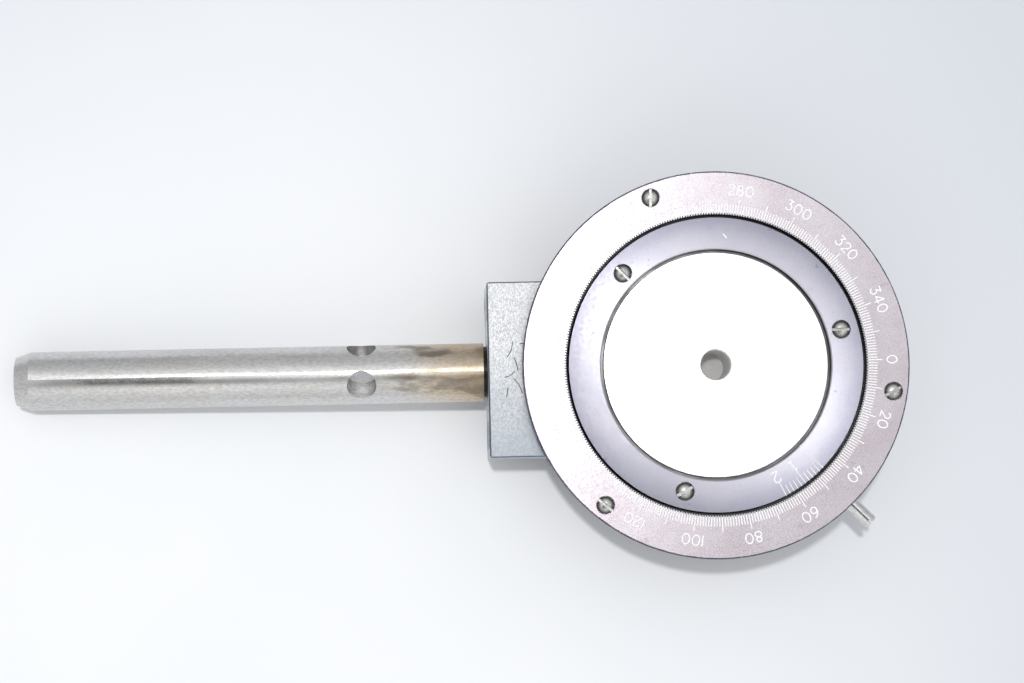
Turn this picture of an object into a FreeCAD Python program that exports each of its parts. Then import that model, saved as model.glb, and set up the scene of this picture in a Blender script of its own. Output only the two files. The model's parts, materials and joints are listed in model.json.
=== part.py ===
import FreeCAD, Part

import math
import os

# A small graduated rotary table on a straight round shank.
# +Z runs along the rotation axis and out of the table face, the shank points along -X,
# and the origin is the centre of the table disc's top face.  All lengths are millimetres.
# A turning disc and vernier ring sit on a ball-borne spindle inside a round housing, whose
# top carries the fixed graduated dial.  A block screwed to the housing holds the shank.

INCH = 25.4
UP = FreeCAD.Vector(0, 0, 1)
RUNNING_GAP = 0.04  # radial gap wherever one piece turns or slides in another
LOCATING_GAP = 0.05  # radial gap round a piece that only locates
THREAD_GAP = 0.02  # radial gap between a thread and the piece screwed on it
SCREW_BODY_GAP = 0.15  # radial gap round a screw's body in a drilled hole
SCREW_HEAD_GAP = 0.2  # radial gap round a screw's head in its counterbore
SCREW_EDGE_BREAK = 0.3
HOLE_END_GAP = 0.4  # how much deeper a blind hole is than the piece in it
BEYOND = 1.0  # how far a cutting shape runs past the face it cuts

# ---- table disc
DISC_R = 30.15
DISC_THICKNESS = 0.25 * INCH
DISC_CHAMFER = 0.15
SPIGOT_R = 9.5
SPIGOT_LENGTH = 14.0
CENTRE_BORE_R = 0.3125 * INCH / 2
CENTRE_BORE_DEPTH = 17.0
CENTRE_BORE_CHAMFER = 0.3
DRILL_POINT_HALF_ANGLE = 59.0

# ---- graduated rings
DIAL_OUTER_R = 51.8
DIAL_BORE_R = 40.2
DIAL_TOP_Z = 2.0
DIAL_THICKNESS = 3.0
DIAL_CHAMFER = 0.4
VERNIER_OUTER_R = 39.5
VERNIER_BORE_R = 30.9
VERNIER_TOP_Z = 1.2
VERNIER_THICKNESS = 3.0
VERNIER_CHAMFER = 0.3
RING_EDGE_BREAK = 0.1

# ---- fillister screws that hold the rings
RING_SCREW_COUNT = 3
DIAL_SCREW_CIRCLE_R = 47.85
DIAL_SCREW_FIRST_ANGLE = -9.8
DIAL_SCREW_SLOT_ANGLES = (27.0, 89.0, -41.0)
VERNIER_SCREW_CIRCLE_R = 34.85
VERNIER_SCREW_FIRST_ANGLE = 14.5
VERNIER_SCREW_SLOT_ANGLES = (0.0, -46.0, 28.0)
FILLISTER_THREAD_R = 1.42
FILLISTER_THREAD_LENGTH = 6.4
FILLISTER_THREAD_POINT = 0.4
FILLISTER_HEAD_R = 2.35
FILLISTER_HEAD_SIDE = 1.6
FILLISTER_DOME = 0.65
FILLISTER_SLOT_WIDTH = 0.8
FILLISTER_SLOT_DEPTH = 1.1
FILLISTER_EDGE_BREAK = 0.15
COUNTERBORE_R = 2.55
COUNTERBORE_DEPTH = 1.7
SCREW_CLEARANCE_R = 1.6
TAPPED_GAP = 0.03
TAPPED_EXTRA_DEPTH = 1.0

# ---- shank
SHANK_R = 0.625 * INCH / 2
SHANK_AXIS_Z = -15.0
SHANK_LENGTH = 5.0 * INCH  # from the block's face to the end
SHANK_END_R = 6.6
SHANK_END_CHAMFER = 4.0
SHANK_NECK_R = 7.0
SHANK_NECK_WIDTH = 0.9
SHANK_STUB_R = 6.35
SHANK_STUB_LENGTH = 14.0
SHANK_STUB_CHAMFER = 0.4
SHANK_EDGE_BREAK = 0.2
SHANK_FLAT_DEPTH = 0.5
SHANK_FLAT_MARGIN = 3.0  # how far the flat runs past its two set screws
CROSS_HOLE_R = 0.3125 * INCH / 2
CROSS_HOLE_FROM_BLOCK = 34.0
CROSS_HOLE_TILT = 25.0

# ---- block between shank and housing
BLOCK_FACE_X = -60.8
BLOCK_WIDTH = 47.0
BLOCK_HEIGHT = 1.0 * INCH
BLOCK_CHAMFER = 0.4
BLOCK_SCREW_Y = 17.0
BLOCK_SCREW_Z = 7.4
CAP_SCREW_THREAD_R = 2.41
CAP_SCREW_HEAD_R = 3.96
CAP_SCREW_HEAD_HEIGHT = 4.8
CAP_SCREW_HEX_R = 2.29
CAP_SCREW_HEX_DEPTH = 2.4
CAP_SCREW_SUNK = 0.3
CAP_SCREW_ENGAGEMENT = 5.6
DOWEL_R = 0.125 * INCH / 2
DOWEL_LENGTH = 12.0
DOWEL_ENGAGEMENT = 5.0
SET_SCREW_X = (-50.5, -56.5)
SET_SCREW_R = 2.0
SET_SCREW_SUNK = 0.6
SET_SCREW_HEX_R = 1.15
SET_SCREW_HEX_DEPTH = 2.2

# ---- housing
HOUSING_R = 50.6
HOUSING_FLAT_X = -44.5
HOUSING_BORE_R = 39.8
HOUSING_CHAMFER = 0.5
HOUSING_LEDGE_Z = -18.2
BEARING_POCKET_R = 31.2
BUSH_OUTER_R = 16.0

# ---- spindle and its bearing
SPINDLE_RIM_R = 39.2
SPINDLE_UNDERSIDE_Z = -17.7
HUB_R = 13.0
HUB_BOTTOM_Z = -28.4
SPINDLE_THREAD_R = 10.0
SPINDLE_END_Z = -36.6
SPINDLE_CENTRE_R = 1.6
SPINDLE_RIM_CHAMFER = 0.5
SPINDLE_THREAD_CHAMFER = 0.6
HUB_CHAMFER = 0.4
RACE_THICKNESS = 1.0
UPPER_RACE_OUTER_R = 30.6
LOWER_RACE_INNER_R = 17.0
LOWER_RACE_OUTER_R = 31.1
BALL_R = 0.995
BALL_PLAY = 0.01
BALL_COUNT = 24
BALL_CIRCLE_R = 26.5
CAGE_INNER_R = 23.2
CAGE_OUTER_R = 29.8
CAGE_THICKNESS = 1.2
CAGE_POCKET_R = 1.06

# ---- screws that hold the disc from below
DISC_SCREW_CIRCLE_R = 18.4
DISC_SCREW_FIRST_ANGLE = 60.0
DISC_SCREW_THREAD_R = 1.75
DISC_SCREW_HEAD_R = 2.85
DISC_SCREW_HEAD_HEIGHT = 3.4
DISC_SCREW_HEX_R = 1.6
DISC_SCREW_HEX_DEPTH = 1.6
DISC_SCREW_SUNK = 0.2
DISC_SCREW_TIP_Z = -2.8

# ---- retaining pieces on the spindle's tail
THRUST_WASHER_R = 20.0
THRUST_WASHER_THICKNESS = 1.2
SPRING_INNER_R = 10.4
SPRING_OUTER_R = 17.5
SPRING_THICKNESS = 0.9
SPRING_CONE = 0.5
NUT_R = 16.5
NUT_HEIGHT = 7.0
NUT_CHAMFER = 0.7
NUT_FLUTE_COUNT = 28
NUT_FLUTE_R = 0.9
NUT_FLUTE_CIRCLE_R = 16.9
NUT_SPANNER_HOLE_R = 1.6
NUT_SPANNER_HOLE_DEPTH = 2.5
NUT_SPANNER_CIRCLE_R = 13.1
NUT_LOCK_R = 1.2
NUT_LOCK_SUNK = 1.2
NUT_LOCK_SOCKET_R = 0.65
NUT_LOCK_SOCKET_DEPTH = 1.4

# ---- lock screw and shoe
LOCK_ANGLE = -45.0
LOCK_TIP_R = 61.0
LOCK_THREAD_R = 2.08
LOCK_PIN_R = 0.15625 * INCH / 2
LOCK_TIP_CHAMFER = 0.25
LOCK_SLOT_WIDTH = 0.8
LOCK_SLOT_DEPTH = 1.1
LOCK_THREAD_CHAMFER = 0.3
SHOE_GAP = 0.04
SHOE_OUTER_X = 42.4
LOCK_THREAD_OUTER_X = 49.6

# ---- heights that follow from the values above
DIAL_SEAT_Z = DIAL_TOP_Z - DIAL_THICKNESS
VERNIER_SEAT_Z = VERNIER_TOP_Z - VERNIER_THICKNESS
BLOCK_BOTTOM_Z = SHANK_AXIS_Z - BLOCK_HEIGHT / 2
UPPER_RACE_Z = SPINDLE_UNDERSIDE_Z - RACE_THICKNESS
LOWER_RACE_Z = UPPER_RACE_Z - 2 * BALL_R - BALL_PLAY
HOUSING_FLOOR_Z = LOWER_RACE_Z - RACE_THICKNESS
BALL_Z = (UPPER_RACE_Z + LOWER_RACE_Z) / 2
NUT_TOP_Z = BLOCK_BOTTOM_Z - THRUST_WASHER_THICKNESS - SPRING_THICKNESS - SPRING_CONE
NUT_BOTTOM_Z = NUT_TOP_Z - NUT_HEIGHT


def cylinder(radius, low, high, x=0.0, y=0.0):
    return Part.makeCylinder(radius, high - low, FreeCAD.Vector(x, y, low), UP)


def cylinder_along(radius, start, end):
    base = FreeCAD.Vector(*start)
    reach = FreeCAD.Vector(*end) - base
    return Part.makeCylinder(radius, reach.Length, base, reach)


def tube(outer, inner, low, high):
    return cylinder(outer, low, high).cut(cylinder(inner, low - BEYOND, high + BEYOND))


def revolved(outline):
    """Turn a closed outline of (radius, z) points round the Z axis."""
    points = [FreeCAD.Vector(radius, 0, z) for radius, z in outline]
    face = Part.Face(Part.makePolygon(points + points[:1]))
    return face.revolve(FreeCAD.Vector(0, 0, 0), UP, 360)


def on_circle(radius, angle):
    """The x and y of a point at this radius and angle in degrees."""
    turn = math.radians(angle)
    return radius * math.cos(turn), radius * math.sin(turn)


def spread(count, first_angle):
    return [first_angle + 360.0 * step / count for step in range(count)]


def turned(shape, angle, axis=UP):
    return shape.rotated(FreeCAD.Vector(0, 0, 0), axis, angle)


def moved(shape, x, y, z):
    return shape.translated(FreeCAD.Vector(x, y, z))


def hexagon_prism(corner_radius, low, high):
    points = [FreeCAD.Vector(*on_circle(corner_radius, angle), low) for angle in spread(6, 0)]
    face = Part.Face(Part.makePolygon(points + points[:1]))
    return face.extrude(FreeCAD.Vector(0, 0, high - low))


def cut_all(shape, tools):
    for tool in tools:
        shape = shape.cut(tool)
    return shape


def chamfered_ring(outer, inner, low, high, outer_chamfer, inner_chamfer):
    """A flat ring whose two top edges are chamfered and whose lower outer edge is broken."""
    return revolved([
        (inner, low),
        (outer - RING_EDGE_BREAK, low),
        (outer, low + RING_EDGE_BREAK),
        (outer, high - outer_chamfer),
        (outer - outer_chamfer, high),
        (inner + inner_chamfer, high),
        (inner, high - inner_chamfer),
    ])


def with_counterbores(ring, top, seat, circle_r, first_angle):
    """Drill and counterbore a ring for its fillister screws."""
    for angle in spread(RING_SCREW_COUNT, first_angle):
        x, y = on_circle(circle_r, angle)
        ring = ring.cut(cylinder(SCREW_CLEARANCE_R, seat - BEYOND, top + BEYOND, x, y))
        ring = ring.cut(cylinder(COUNTERBORE_R, top - COUNTERBORE_DEPTH, top + BEYOND, x, y))
    return ring


def ring_screw_holes(top, seat, circle_r, first_angle):
    """Tapped holes under a ring for its fillister screws."""
    bottom = top - COUNTERBORE_DEPTH - FILLISTER_THREAD_LENGTH - TAPPED_EXTRA_DEPTH
    radius = FILLISTER_THREAD_R + TAPPED_GAP
    places = [on_circle(circle_r, angle) for angle in spread(RING_SCREW_COUNT, first_angle)]
    return [cylinder(radius, bottom, seat + BEYOND, x, y) for x, y in places]


def fillister_screw():
    """A slotted domed screw, with the underside of its head at z = 0."""
    side = FILLISTER_HEAD_SIDE
    edge = FreeCAD.Vector(FILLISTER_HEAD_R, 0, side)
    crown = FreeCAD.Vector(0, 0, side + FILLISTER_DOME)
    sphere_r = (FILLISTER_HEAD_R ** 2 + FILLISTER_DOME ** 2) / (2 * FILLISTER_DOME)
    half_turn = math.asin(FILLISTER_HEAD_R / sphere_r) / 2
    sphere_z = side + FILLISTER_DOME - sphere_r
    middle = FreeCAD.Vector(sphere_r * math.sin(half_turn), 0,
                            sphere_z + sphere_r * math.cos(half_turn))
    foot = FreeCAD.Vector(FILLISTER_HEAD_R, 0, FILLISTER_EDGE_BREAK)
    under = FreeCAD.Vector(FILLISTER_HEAD_R - FILLISTER_EDGE_BREAK, 0, 0)
    centre = FreeCAD.Vector(0, 0, 0)
    edges = [
        Part.makeLine(centre, under),
        Part.makeLine(under, foot),
        Part.makeLine(foot, edge),
        Part.Arc(edge, middle, crown).toShape(),
        Part.makeLine(crown, centre),
    ]
    head = Part.Face(Part.Wire(edges)).revolve(centre, UP, 360)
    thread = revolved([
        (0, -FILLISTER_THREAD_LENGTH),
        (FILLISTER_THREAD_R - FILLISTER_THREAD_POINT, -FILLISTER_THREAD_LENGTH),
        (FILLISTER_THREAD_R, -FILLISTER_THREAD_LENGTH + FILLISTER_THREAD_POINT),
        (FILLISTER_THREAD_R, 0),
        (0, 0),
    ])
    slot_floor = side + FILLISTER_DOME - FILLISTER_SLOT_DEPTH
    slot_reach = FILLISTER_HEAD_R + BEYOND
    corner = FreeCAD.Vector(-slot_reach, -FILLISTER_SLOT_WIDTH / 2, slot_floor)
    slot = Part.makeBox(2 * slot_reach, FILLISTER_SLOT_WIDTH, FILLISTER_SLOT_DEPTH + BEYOND, corner)
    return head.fuse(thread).cut(slot)


def ring_screws(top, circle_r, first_angle, slot_angles):
    screw = fillister_screw()
    screws = []
    for angle, slot_angle in zip(spread(RING_SCREW_COUNT, first_angle), slot_angles):
        x, y = on_circle(circle_r, angle)
        screws.append(moved(turned(screw, slot_angle), x, y, top - COUNTERBORE_DEPTH))
    return Part.makeCompound(screws)


def cap_screw(thread_r, length, head_r, head_height, hex_r, hex_depth):
    """A socket head screw along +Z, with the top of its head at z = 0 and its tip below."""
    edge = SCREW_EDGE_BREAK
    body = revolved([
        (0, -head_height - length),
        (thread_r - edge, -head_height - length),
        (thread_r, -head_height - length + edge),
        (thread_r, -head_height),
        (head_r, -head_height),
        (head_r, -edge),
        (head_r - edge, 0),
        (0, 0),
    ])
    return body.cut(hexagon_prism(hex_r, -hex_depth, BEYOND))


def set_screw(radius, length):
    """A headless socket screw along -Z, with its tip at z = 0 and its socket below."""
    edge = SCREW_EDGE_BREAK
    body = revolved([
        (0, -length),
        (radius - edge, -length),
        (radius, -length + edge),
        (radius, -edge),
        (radius - edge, 0),
        (0, 0),
    ])
    socket = hexagon_prism(SET_SCREW_HEX_R, -length - BEYOND, -length + SET_SCREW_HEX_DEPTH)
    return body.cut(socket)


# ---------------------------------------------------------------- table side: what turns
def table_disc():
    bottom = -DISC_THICKNESS
    disc = revolved([
        (0, bottom - SPIGOT_LENGTH),
        (SPIGOT_R - DISC_CHAMFER, bottom - SPIGOT_LENGTH),
        (SPIGOT_R, bottom - SPIGOT_LENGTH + DISC_CHAMFER),
        (SPIGOT_R, bottom),
        (DISC_R, bottom),
        (DISC_R, -DISC_CHAMFER),
        (DISC_R - DISC_CHAMFER, 0),
        (0, 0),
    ])
    point = CENTRE_BORE_R / math.tan(math.radians(DRILL_POINT_HALF_ANGLE))
    bore = revolved([
        (0, -CENTRE_BORE_DEPTH - point),
        (CENTRE_BORE_R, -CENTRE_BORE_DEPTH),
        (CENTRE_BORE_R, -CENTRE_BORE_CHAMFER),
        (CENTRE_BORE_R + CENTRE_BORE_CHAMFER, 0),
        (CENTRE_BORE_R + CENTRE_BORE_CHAMFER, BEYOND),
        (0, BEYOND),
    ])
    disc = disc.cut(bore)
    hole_r = DISC_SCREW_THREAD_R + TAPPED_GAP
    for x, y in disc_screw_places():
        disc = disc.cut(cylinder(hole_r, bottom - BEYOND, DISC_SCREW_TIP_Z + HOLE_END_GAP, x, y))
    return disc


def disc_screw_places():
    angles = spread(RING_SCREW_COUNT, DISC_SCREW_FIRST_ANGLE)
    return [on_circle(DISC_SCREW_CIRCLE_R, angle) for angle in angles]


def disc_screws():
    head_z = SPINDLE_UNDERSIDE_Z + DISC_SCREW_SUNK
    length = DISC_SCREW_TIP_Z - (head_z + DISC_SCREW_HEAD_HEIGHT)
    screw = cap_screw(DISC_SCREW_THREAD_R, length, DISC_SCREW_HEAD_R,
                      DISC_SCREW_HEAD_HEIGHT, DISC_SCREW_HEX_R, DISC_SCREW_HEX_DEPTH)
    upside_down = turned(screw, 180, FreeCAD.Vector(1, 0, 0))
    return Part.makeCompound([moved(upside_down, x, y, head_z) for x, y in disc_screw_places()])


def spindle():
    disc_seat_z = -DISC_THICKNESS
    spigot_hole_z = disc_seat_z - SPIGOT_LENGTH - HOLE_END_GAP
    body = revolved([
        (0, SPINDLE_END_Z),
        (SPINDLE_THREAD_R - SPINDLE_THREAD_CHAMFER, SPINDLE_END_Z),
        (SPINDLE_THREAD_R, SPINDLE_END_Z + SPINDLE_THREAD_CHAMFER),
        (SPINDLE_THREAD_R, HUB_BOTTOM_Z),
        (HUB_R - HUB_CHAMFER, HUB_BOTTOM_Z),
        (HUB_R, HUB_BOTTOM_Z + HUB_CHAMFER),
        (HUB_R, SPINDLE_UNDERSIDE_Z),
        (SPINDLE_RIM_R - SPINDLE_RIM_CHAMFER, SPINDLE_UNDERSIDE_Z),
        (SPINDLE_RIM_R, SPINDLE_UNDERSIDE_Z + SPINDLE_RIM_CHAMFER),
        (SPINDLE_RIM_R, VERNIER_SEAT_Z),
        (DISC_R + LOCATING_GAP, VERNIER_SEAT_Z),
        (DISC_R + LOCATING_GAP, disc_seat_z),
        (SPIGOT_R + LOCATING_GAP, disc_seat_z),
        (SPIGOT_R + LOCATING_GAP, spigot_hole_z),
        (0, spigot_hole_z),
    ])
    body = body.cut(revolved([
        (0, SPINDLE_END_Z + SPINDLE_CENTRE_R),
        (SPINDLE_CENTRE_R, SPINDLE_END_Z),
        (SPINDLE_CENTRE_R, SPINDLE_END_Z - BEYOND),
        (0, SPINDLE_END_Z - BEYOND),
    ]))
    seat = SPINDLE_UNDERSIDE_Z + DISC_SCREW_SUNK + DISC_SCREW_HEAD_HEIGHT
    body_hole_r = DISC_SCREW_THREAD_R + SCREW_BODY_GAP
    head_hole_r = DISC_SCREW_HEAD_R + SCREW_HEAD_GAP
    for x, y in disc_screw_places():
        body = body.cut(cylinder(body_hole_r, seat - BEYOND, disc_seat_z + BEYOND, x, y))
        body = body.cut(cylinder(head_hole_r, SPINDLE_UNDERSIDE_Z - BEYOND, seat, x, y))
    holes = ring_screw_holes(VERNIER_TOP_Z, VERNIER_SEAT_Z, VERNIER_SCREW_CIRCLE_R,
                             VERNIER_SCREW_FIRST_ANGLE)
    return cut_all(body, holes)


def vernier_ring():
    ring = chamfered_ring(VERNIER_OUTER_R, VERNIER_BORE_R, VERNIER_SEAT_Z, VERNIER_TOP_Z,
                          RING_EDGE_BREAK, VERNIER_CHAMFER)
    return with_counterbores(ring, VERNIER_TOP_Z, VERNIER_SEAT_Z, VERNIER_SCREW_CIRCLE_R,
                             VERNIER_SCREW_FIRST_ANGLE)


def vernier_screws():
    return ring_screws(VERNIER_TOP_Z, VERNIER_SCREW_CIRCLE_R, VERNIER_SCREW_FIRST_ANGLE,
                       VERNIER_SCREW_SLOT_ANGLES)


def upper_race():
    return tube(UPPER_RACE_OUTER_R, HUB_R + LOCATING_GAP, UPPER_RACE_Z, SPINDLE_UNDERSIDE_Z)


def thrust_washer():
    return tube(THRUST_WASHER_R, HUB_R + LOCATING_GAP,
                BLOCK_BOTTOM_Z - THRUST_WASHER_THICKNESS, BLOCK_BOTTOM_Z)


def spring_washer():
    top = BLOCK_BOTTOM_Z - THRUST_WASHER_THICKNESS
    return revolved([
        (SPRING_INNER_R, top - SPRING_CONE),
        (SPRING_OUTER_R, top),
        (SPRING_OUTER_R, top - SPRING_THICKNESS),
        (SPRING_INNER_R, top - SPRING_CONE - SPRING_THICKNESS),
    ])


def spindle_nut():
    inner = SPINDLE_THREAD_R + THREAD_GAP
    nut = revolved([
        (inner, NUT_BOTTOM_Z),
        (NUT_R - NUT_CHAMFER, NUT_BOTTOM_Z),
        (NUT_R, NUT_BOTTOM_Z + NUT_CHAMFER),
        (NUT_R, NUT_TOP_Z - NUT_CHAMFER),
        (NUT_R - NUT_CHAMFER, NUT_TOP_Z),
        (inner, NUT_TOP_Z),
    ])
    for angle in spread(NUT_FLUTE_COUNT, 0):
        x, y = on_circle(NUT_FLUTE_CIRCLE_R, angle)
        nut = nut.cut(cylinder(NUT_FLUTE_R, NUT_BOTTOM_Z - BEYOND, NUT_TOP_Z + BEYOND, x, y))
    top = NUT_BOTTOM_Z + NUT_SPANNER_HOLE_DEPTH
    for angle in spread(2, 90):
        x, y = on_circle(NUT_SPANNER_CIRCLE_R, angle)
        nut = nut.cut(cylinder(NUT_SPANNER_HOLE_R, NUT_BOTTOM_Z - BEYOND, top, x, y))
    middle = (NUT_BOTTOM_Z + NUT_TOP_Z) / 2
    hole_start = (SPINDLE_THREAD_R - BEYOND, 0, middle)
    hole_end = (NUT_R + BEYOND, 0, middle)
    return nut.cut(cylinder_along(NUT_LOCK_R + TAPPED_GAP, hole_start, hole_end))


def nut_lock_screw():
    middle = (NUT_BOTTOM_Z + NUT_TOP_Z) / 2
    end_x = NUT_R - NUT_LOCK_SUNK
    screw = cylinder_along(NUT_LOCK_R, (SPINDLE_THREAD_R + THREAD_GAP, 0, middle),
                           (end_x, 0, middle))
    socket = cylinder_along(NUT_LOCK_SOCKET_R, (end_x - NUT_LOCK_SOCKET_DEPTH, 0, middle),
                            (end_x + BEYOND, 0, middle))
    return screw.cut(socket)


# ---------------------------------------------------------------- between: rolling cage
def ball_places():
    return [on_circle(BALL_CIRCLE_R, angle) for angle in spread(BALL_COUNT, 0)]


def ball_cage():
    low = BALL_Z - CAGE_THICKNESS / 2
    high = BALL_Z + CAGE_THICKNESS / 2
    cage = tube(CAGE_OUTER_R, CAGE_INNER_R, low, high)
    pockets = [cylinder(CAGE_POCKET_R, low - BEYOND, high + BEYOND, x, y)
               for x, y in ball_places()]
    return cut_all(cage, pockets)


def bearing_balls():
    balls = [Part.makeSphere(BALL_R, FreeCAD.Vector(x, y, BALL_Z)) for x, y in ball_places()]
    return Part.makeCompound(balls)


# ---------------------------------------------------------------- fixed side
def block_screw_places():
    offsets = [(side_y, side_z) for side_y in (-1, 1) for side_z in (-1, 1)]
    return [(BLOCK_SCREW_Y * side_y, SHANK_AXIS_Z + BLOCK_SCREW_Z * side_z)
            for side_y, side_z in offsets]


def dowel_places():
    return [(-BLOCK_SCREW_Y, SHANK_AXIS_Z), (BLOCK_SCREW_Y, SHANK_AXIS_Z)]


def housing():
    body = revolved([
        (0, BLOCK_BOTTOM_Z),
        (HOUSING_R - HOUSING_CHAMFER, BLOCK_BOTTOM_Z),
        (HOUSING_R, BLOCK_BOTTOM_Z + HOUSING_CHAMFER),
        (HOUSING_R, DIAL_SEAT_Z),
        (HOUSING_BORE_R, DIAL_SEAT_Z),
        (HOUSING_BORE_R, HOUSING_LEDGE_Z),
        (BEARING_POCKET_R, HOUSING_LEDGE_Z),
        (BEARING_POCKET_R, HOUSING_FLOOR_Z),
        (0, HOUSING_FLOOR_Z),
    ])
    body = body.cut(cylinder(BUSH_OUTER_R, BLOCK_BOTTOM_Z - BEYOND, HOUSING_FLOOR_Z + BEYOND))
    outside_corner = FreeCAD.Vector(HOUSING_FLAT_X - HOUSING_R, -HOUSING_R,
                                    BLOCK_BOTTOM_Z - BEYOND)
    outside_height = DIAL_SEAT_Z - BLOCK_BOTTOM_Z + 2 * BEYOND
    body = body.cut(Part.makeBox(HOUSING_R, 2 * HOUSING_R, outside_height, outside_corner))
    body = cut_all(body, ring_screw_holes(DIAL_TOP_Z, DIAL_SEAT_Z, DIAL_SCREW_CIRCLE_R,
                                          DIAL_SCREW_FIRST_ANGLE))
    flat_outside_x = HOUSING_FLAT_X - BEYOND
    screw_hole_r = CAP_SCREW_THREAD_R + TAPPED_GAP
    screw_hole_end = HOUSING_FLAT_X + CAP_SCREW_ENGAGEMENT + HOLE_END_GAP
    for y, z in block_screw_places():
        body = body.cut(cylinder_along(screw_hole_r, (flat_outside_x, y, z),
                                       (screw_hole_end, y, z)))
    dowel_hole_end = HOUSING_FLAT_X + DOWEL_ENGAGEMENT + HOLE_END_GAP
    for y, z in dowel_places():
        body = body.cut(cylinder_along(DOWEL_R, (flat_outside_x, y, z), (dowel_hole_end, y, z)))
    lock_hole = cylinder_along(LOCK_THREAD_R + RUNNING_GAP,
                               (HOUSING_BORE_R - BEYOND, 0, SHANK_AXIS_Z),
                               (HOUSING_R + BEYOND, 0, SHANK_AXIS_Z))
    return body.cut(turned(lock_hole, LOCK_ANGLE))


def spindle_bush():
    return tube(BUSH_OUTER_R, HUB_R + RUNNING_GAP, BLOCK_BOTTOM_Z, HOUSING_FLOOR_Z)


def lower_race():
    return tube(LOWER_RACE_OUTER_R, LOWER_RACE_INNER_R, HOUSING_FLOOR_Z, LOWER_RACE_Z)


def dial_ring():
    ring = chamfered_ring(DIAL_OUTER_R, DIAL_BORE_R, DIAL_SEAT_Z, DIAL_TOP_Z,
                          DIAL_CHAMFER, RING_EDGE_BREAK)
    return with_counterbores(ring, DIAL_TOP_Z, DIAL_SEAT_Z, DIAL_SCREW_CIRCLE_R,
                             DIAL_SCREW_FIRST_ANGLE)


def dial_screws():
    return ring_screws(DIAL_TOP_Z, DIAL_SCREW_CIRCLE_R, DIAL_SCREW_FIRST_ANGLE,
                       DIAL_SCREW_SLOT_ANGLES)


def mounting_block():
    block = Part.makeBox(HOUSING_FLAT_X - BLOCK_FACE_X, BLOCK_WIDTH, BLOCK_HEIGHT,
                         FreeCAD.Vector(BLOCK_FACE_X, -BLOCK_WIDTH / 2, BLOCK_BOTTOM_Z))
    outer_edges = [edge for edge in block.Edges
                   if edge.BoundBox.XMin < (BLOCK_FACE_X + HOUSING_FLAT_X) / 2]
    block = block.makeChamfer(BLOCK_CHAMFER, outer_edges)
    left = BLOCK_FACE_X - BEYOND
    right = HOUSING_FLAT_X + BEYOND
    stub_end = BLOCK_FACE_X + SHANK_STUB_LENGTH + HOLE_END_GAP
    block = block.cut(cylinder_along(SHANK_STUB_R + THREAD_GAP, (left, 0, SHANK_AXIS_Z),
                                     (stub_end, 0, SHANK_AXIS_Z)))
    head_seat = BLOCK_FACE_X + CAP_SCREW_SUNK + CAP_SCREW_HEAD_HEIGHT
    head_hole_r = CAP_SCREW_HEAD_R + SCREW_HEAD_GAP
    body_hole_r = CAP_SCREW_THREAD_R + SCREW_BODY_GAP
    for y, z in block_screw_places():
        block = block.cut(cylinder_along(head_hole_r, (left, y, z), (head_seat, y, z)))
        block = block.cut(cylinder_along(body_hole_r, (left, y, z), (right, y, z)))
    dowel_start = HOUSING_FLAT_X + DOWEL_ENGAGEMENT - DOWEL_LENGTH - HOLE_END_GAP
    for y, z in dowel_places():
        block = block.cut(cylinder_along(DOWEL_R, (dowel_start, y, z), (right, y, z)))
    set_screw_hole_r = SET_SCREW_R + TAPPED_GAP
    for x in SET_SCREW_X:
        block = block.cut(cylinder(set_screw_hole_r, BLOCK_BOTTOM_Z - BEYOND, SHANK_AXIS_Z, x))
    return block


def block_screws():
    length = HOUSING_FLAT_X + CAP_SCREW_ENGAGEMENT
    length -= BLOCK_FACE_X + CAP_SCREW_SUNK + CAP_SCREW_HEAD_HEIGHT
    screw = cap_screw(CAP_SCREW_THREAD_R, length, CAP_SCREW_HEAD_R, CAP_SCREW_HEAD_HEIGHT,
                      CAP_SCREW_HEX_R, CAP_SCREW_HEX_DEPTH)
    facing_left = turned(screw, -90, FreeCAD.Vector(0, 1, 0))
    head_x = BLOCK_FACE_X + CAP_SCREW_SUNK
    return Part.makeCompound([moved(facing_left, head_x, y, z) for y, z in block_screw_places()])


def block_dowels():
    end = HOUSING_FLAT_X + DOWEL_ENGAGEMENT
    return Part.makeCompound([cylinder_along(DOWEL_R, (end - DOWEL_LENGTH, y, z), (end, y, z))
                              for y, z in dowel_places()])


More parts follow.
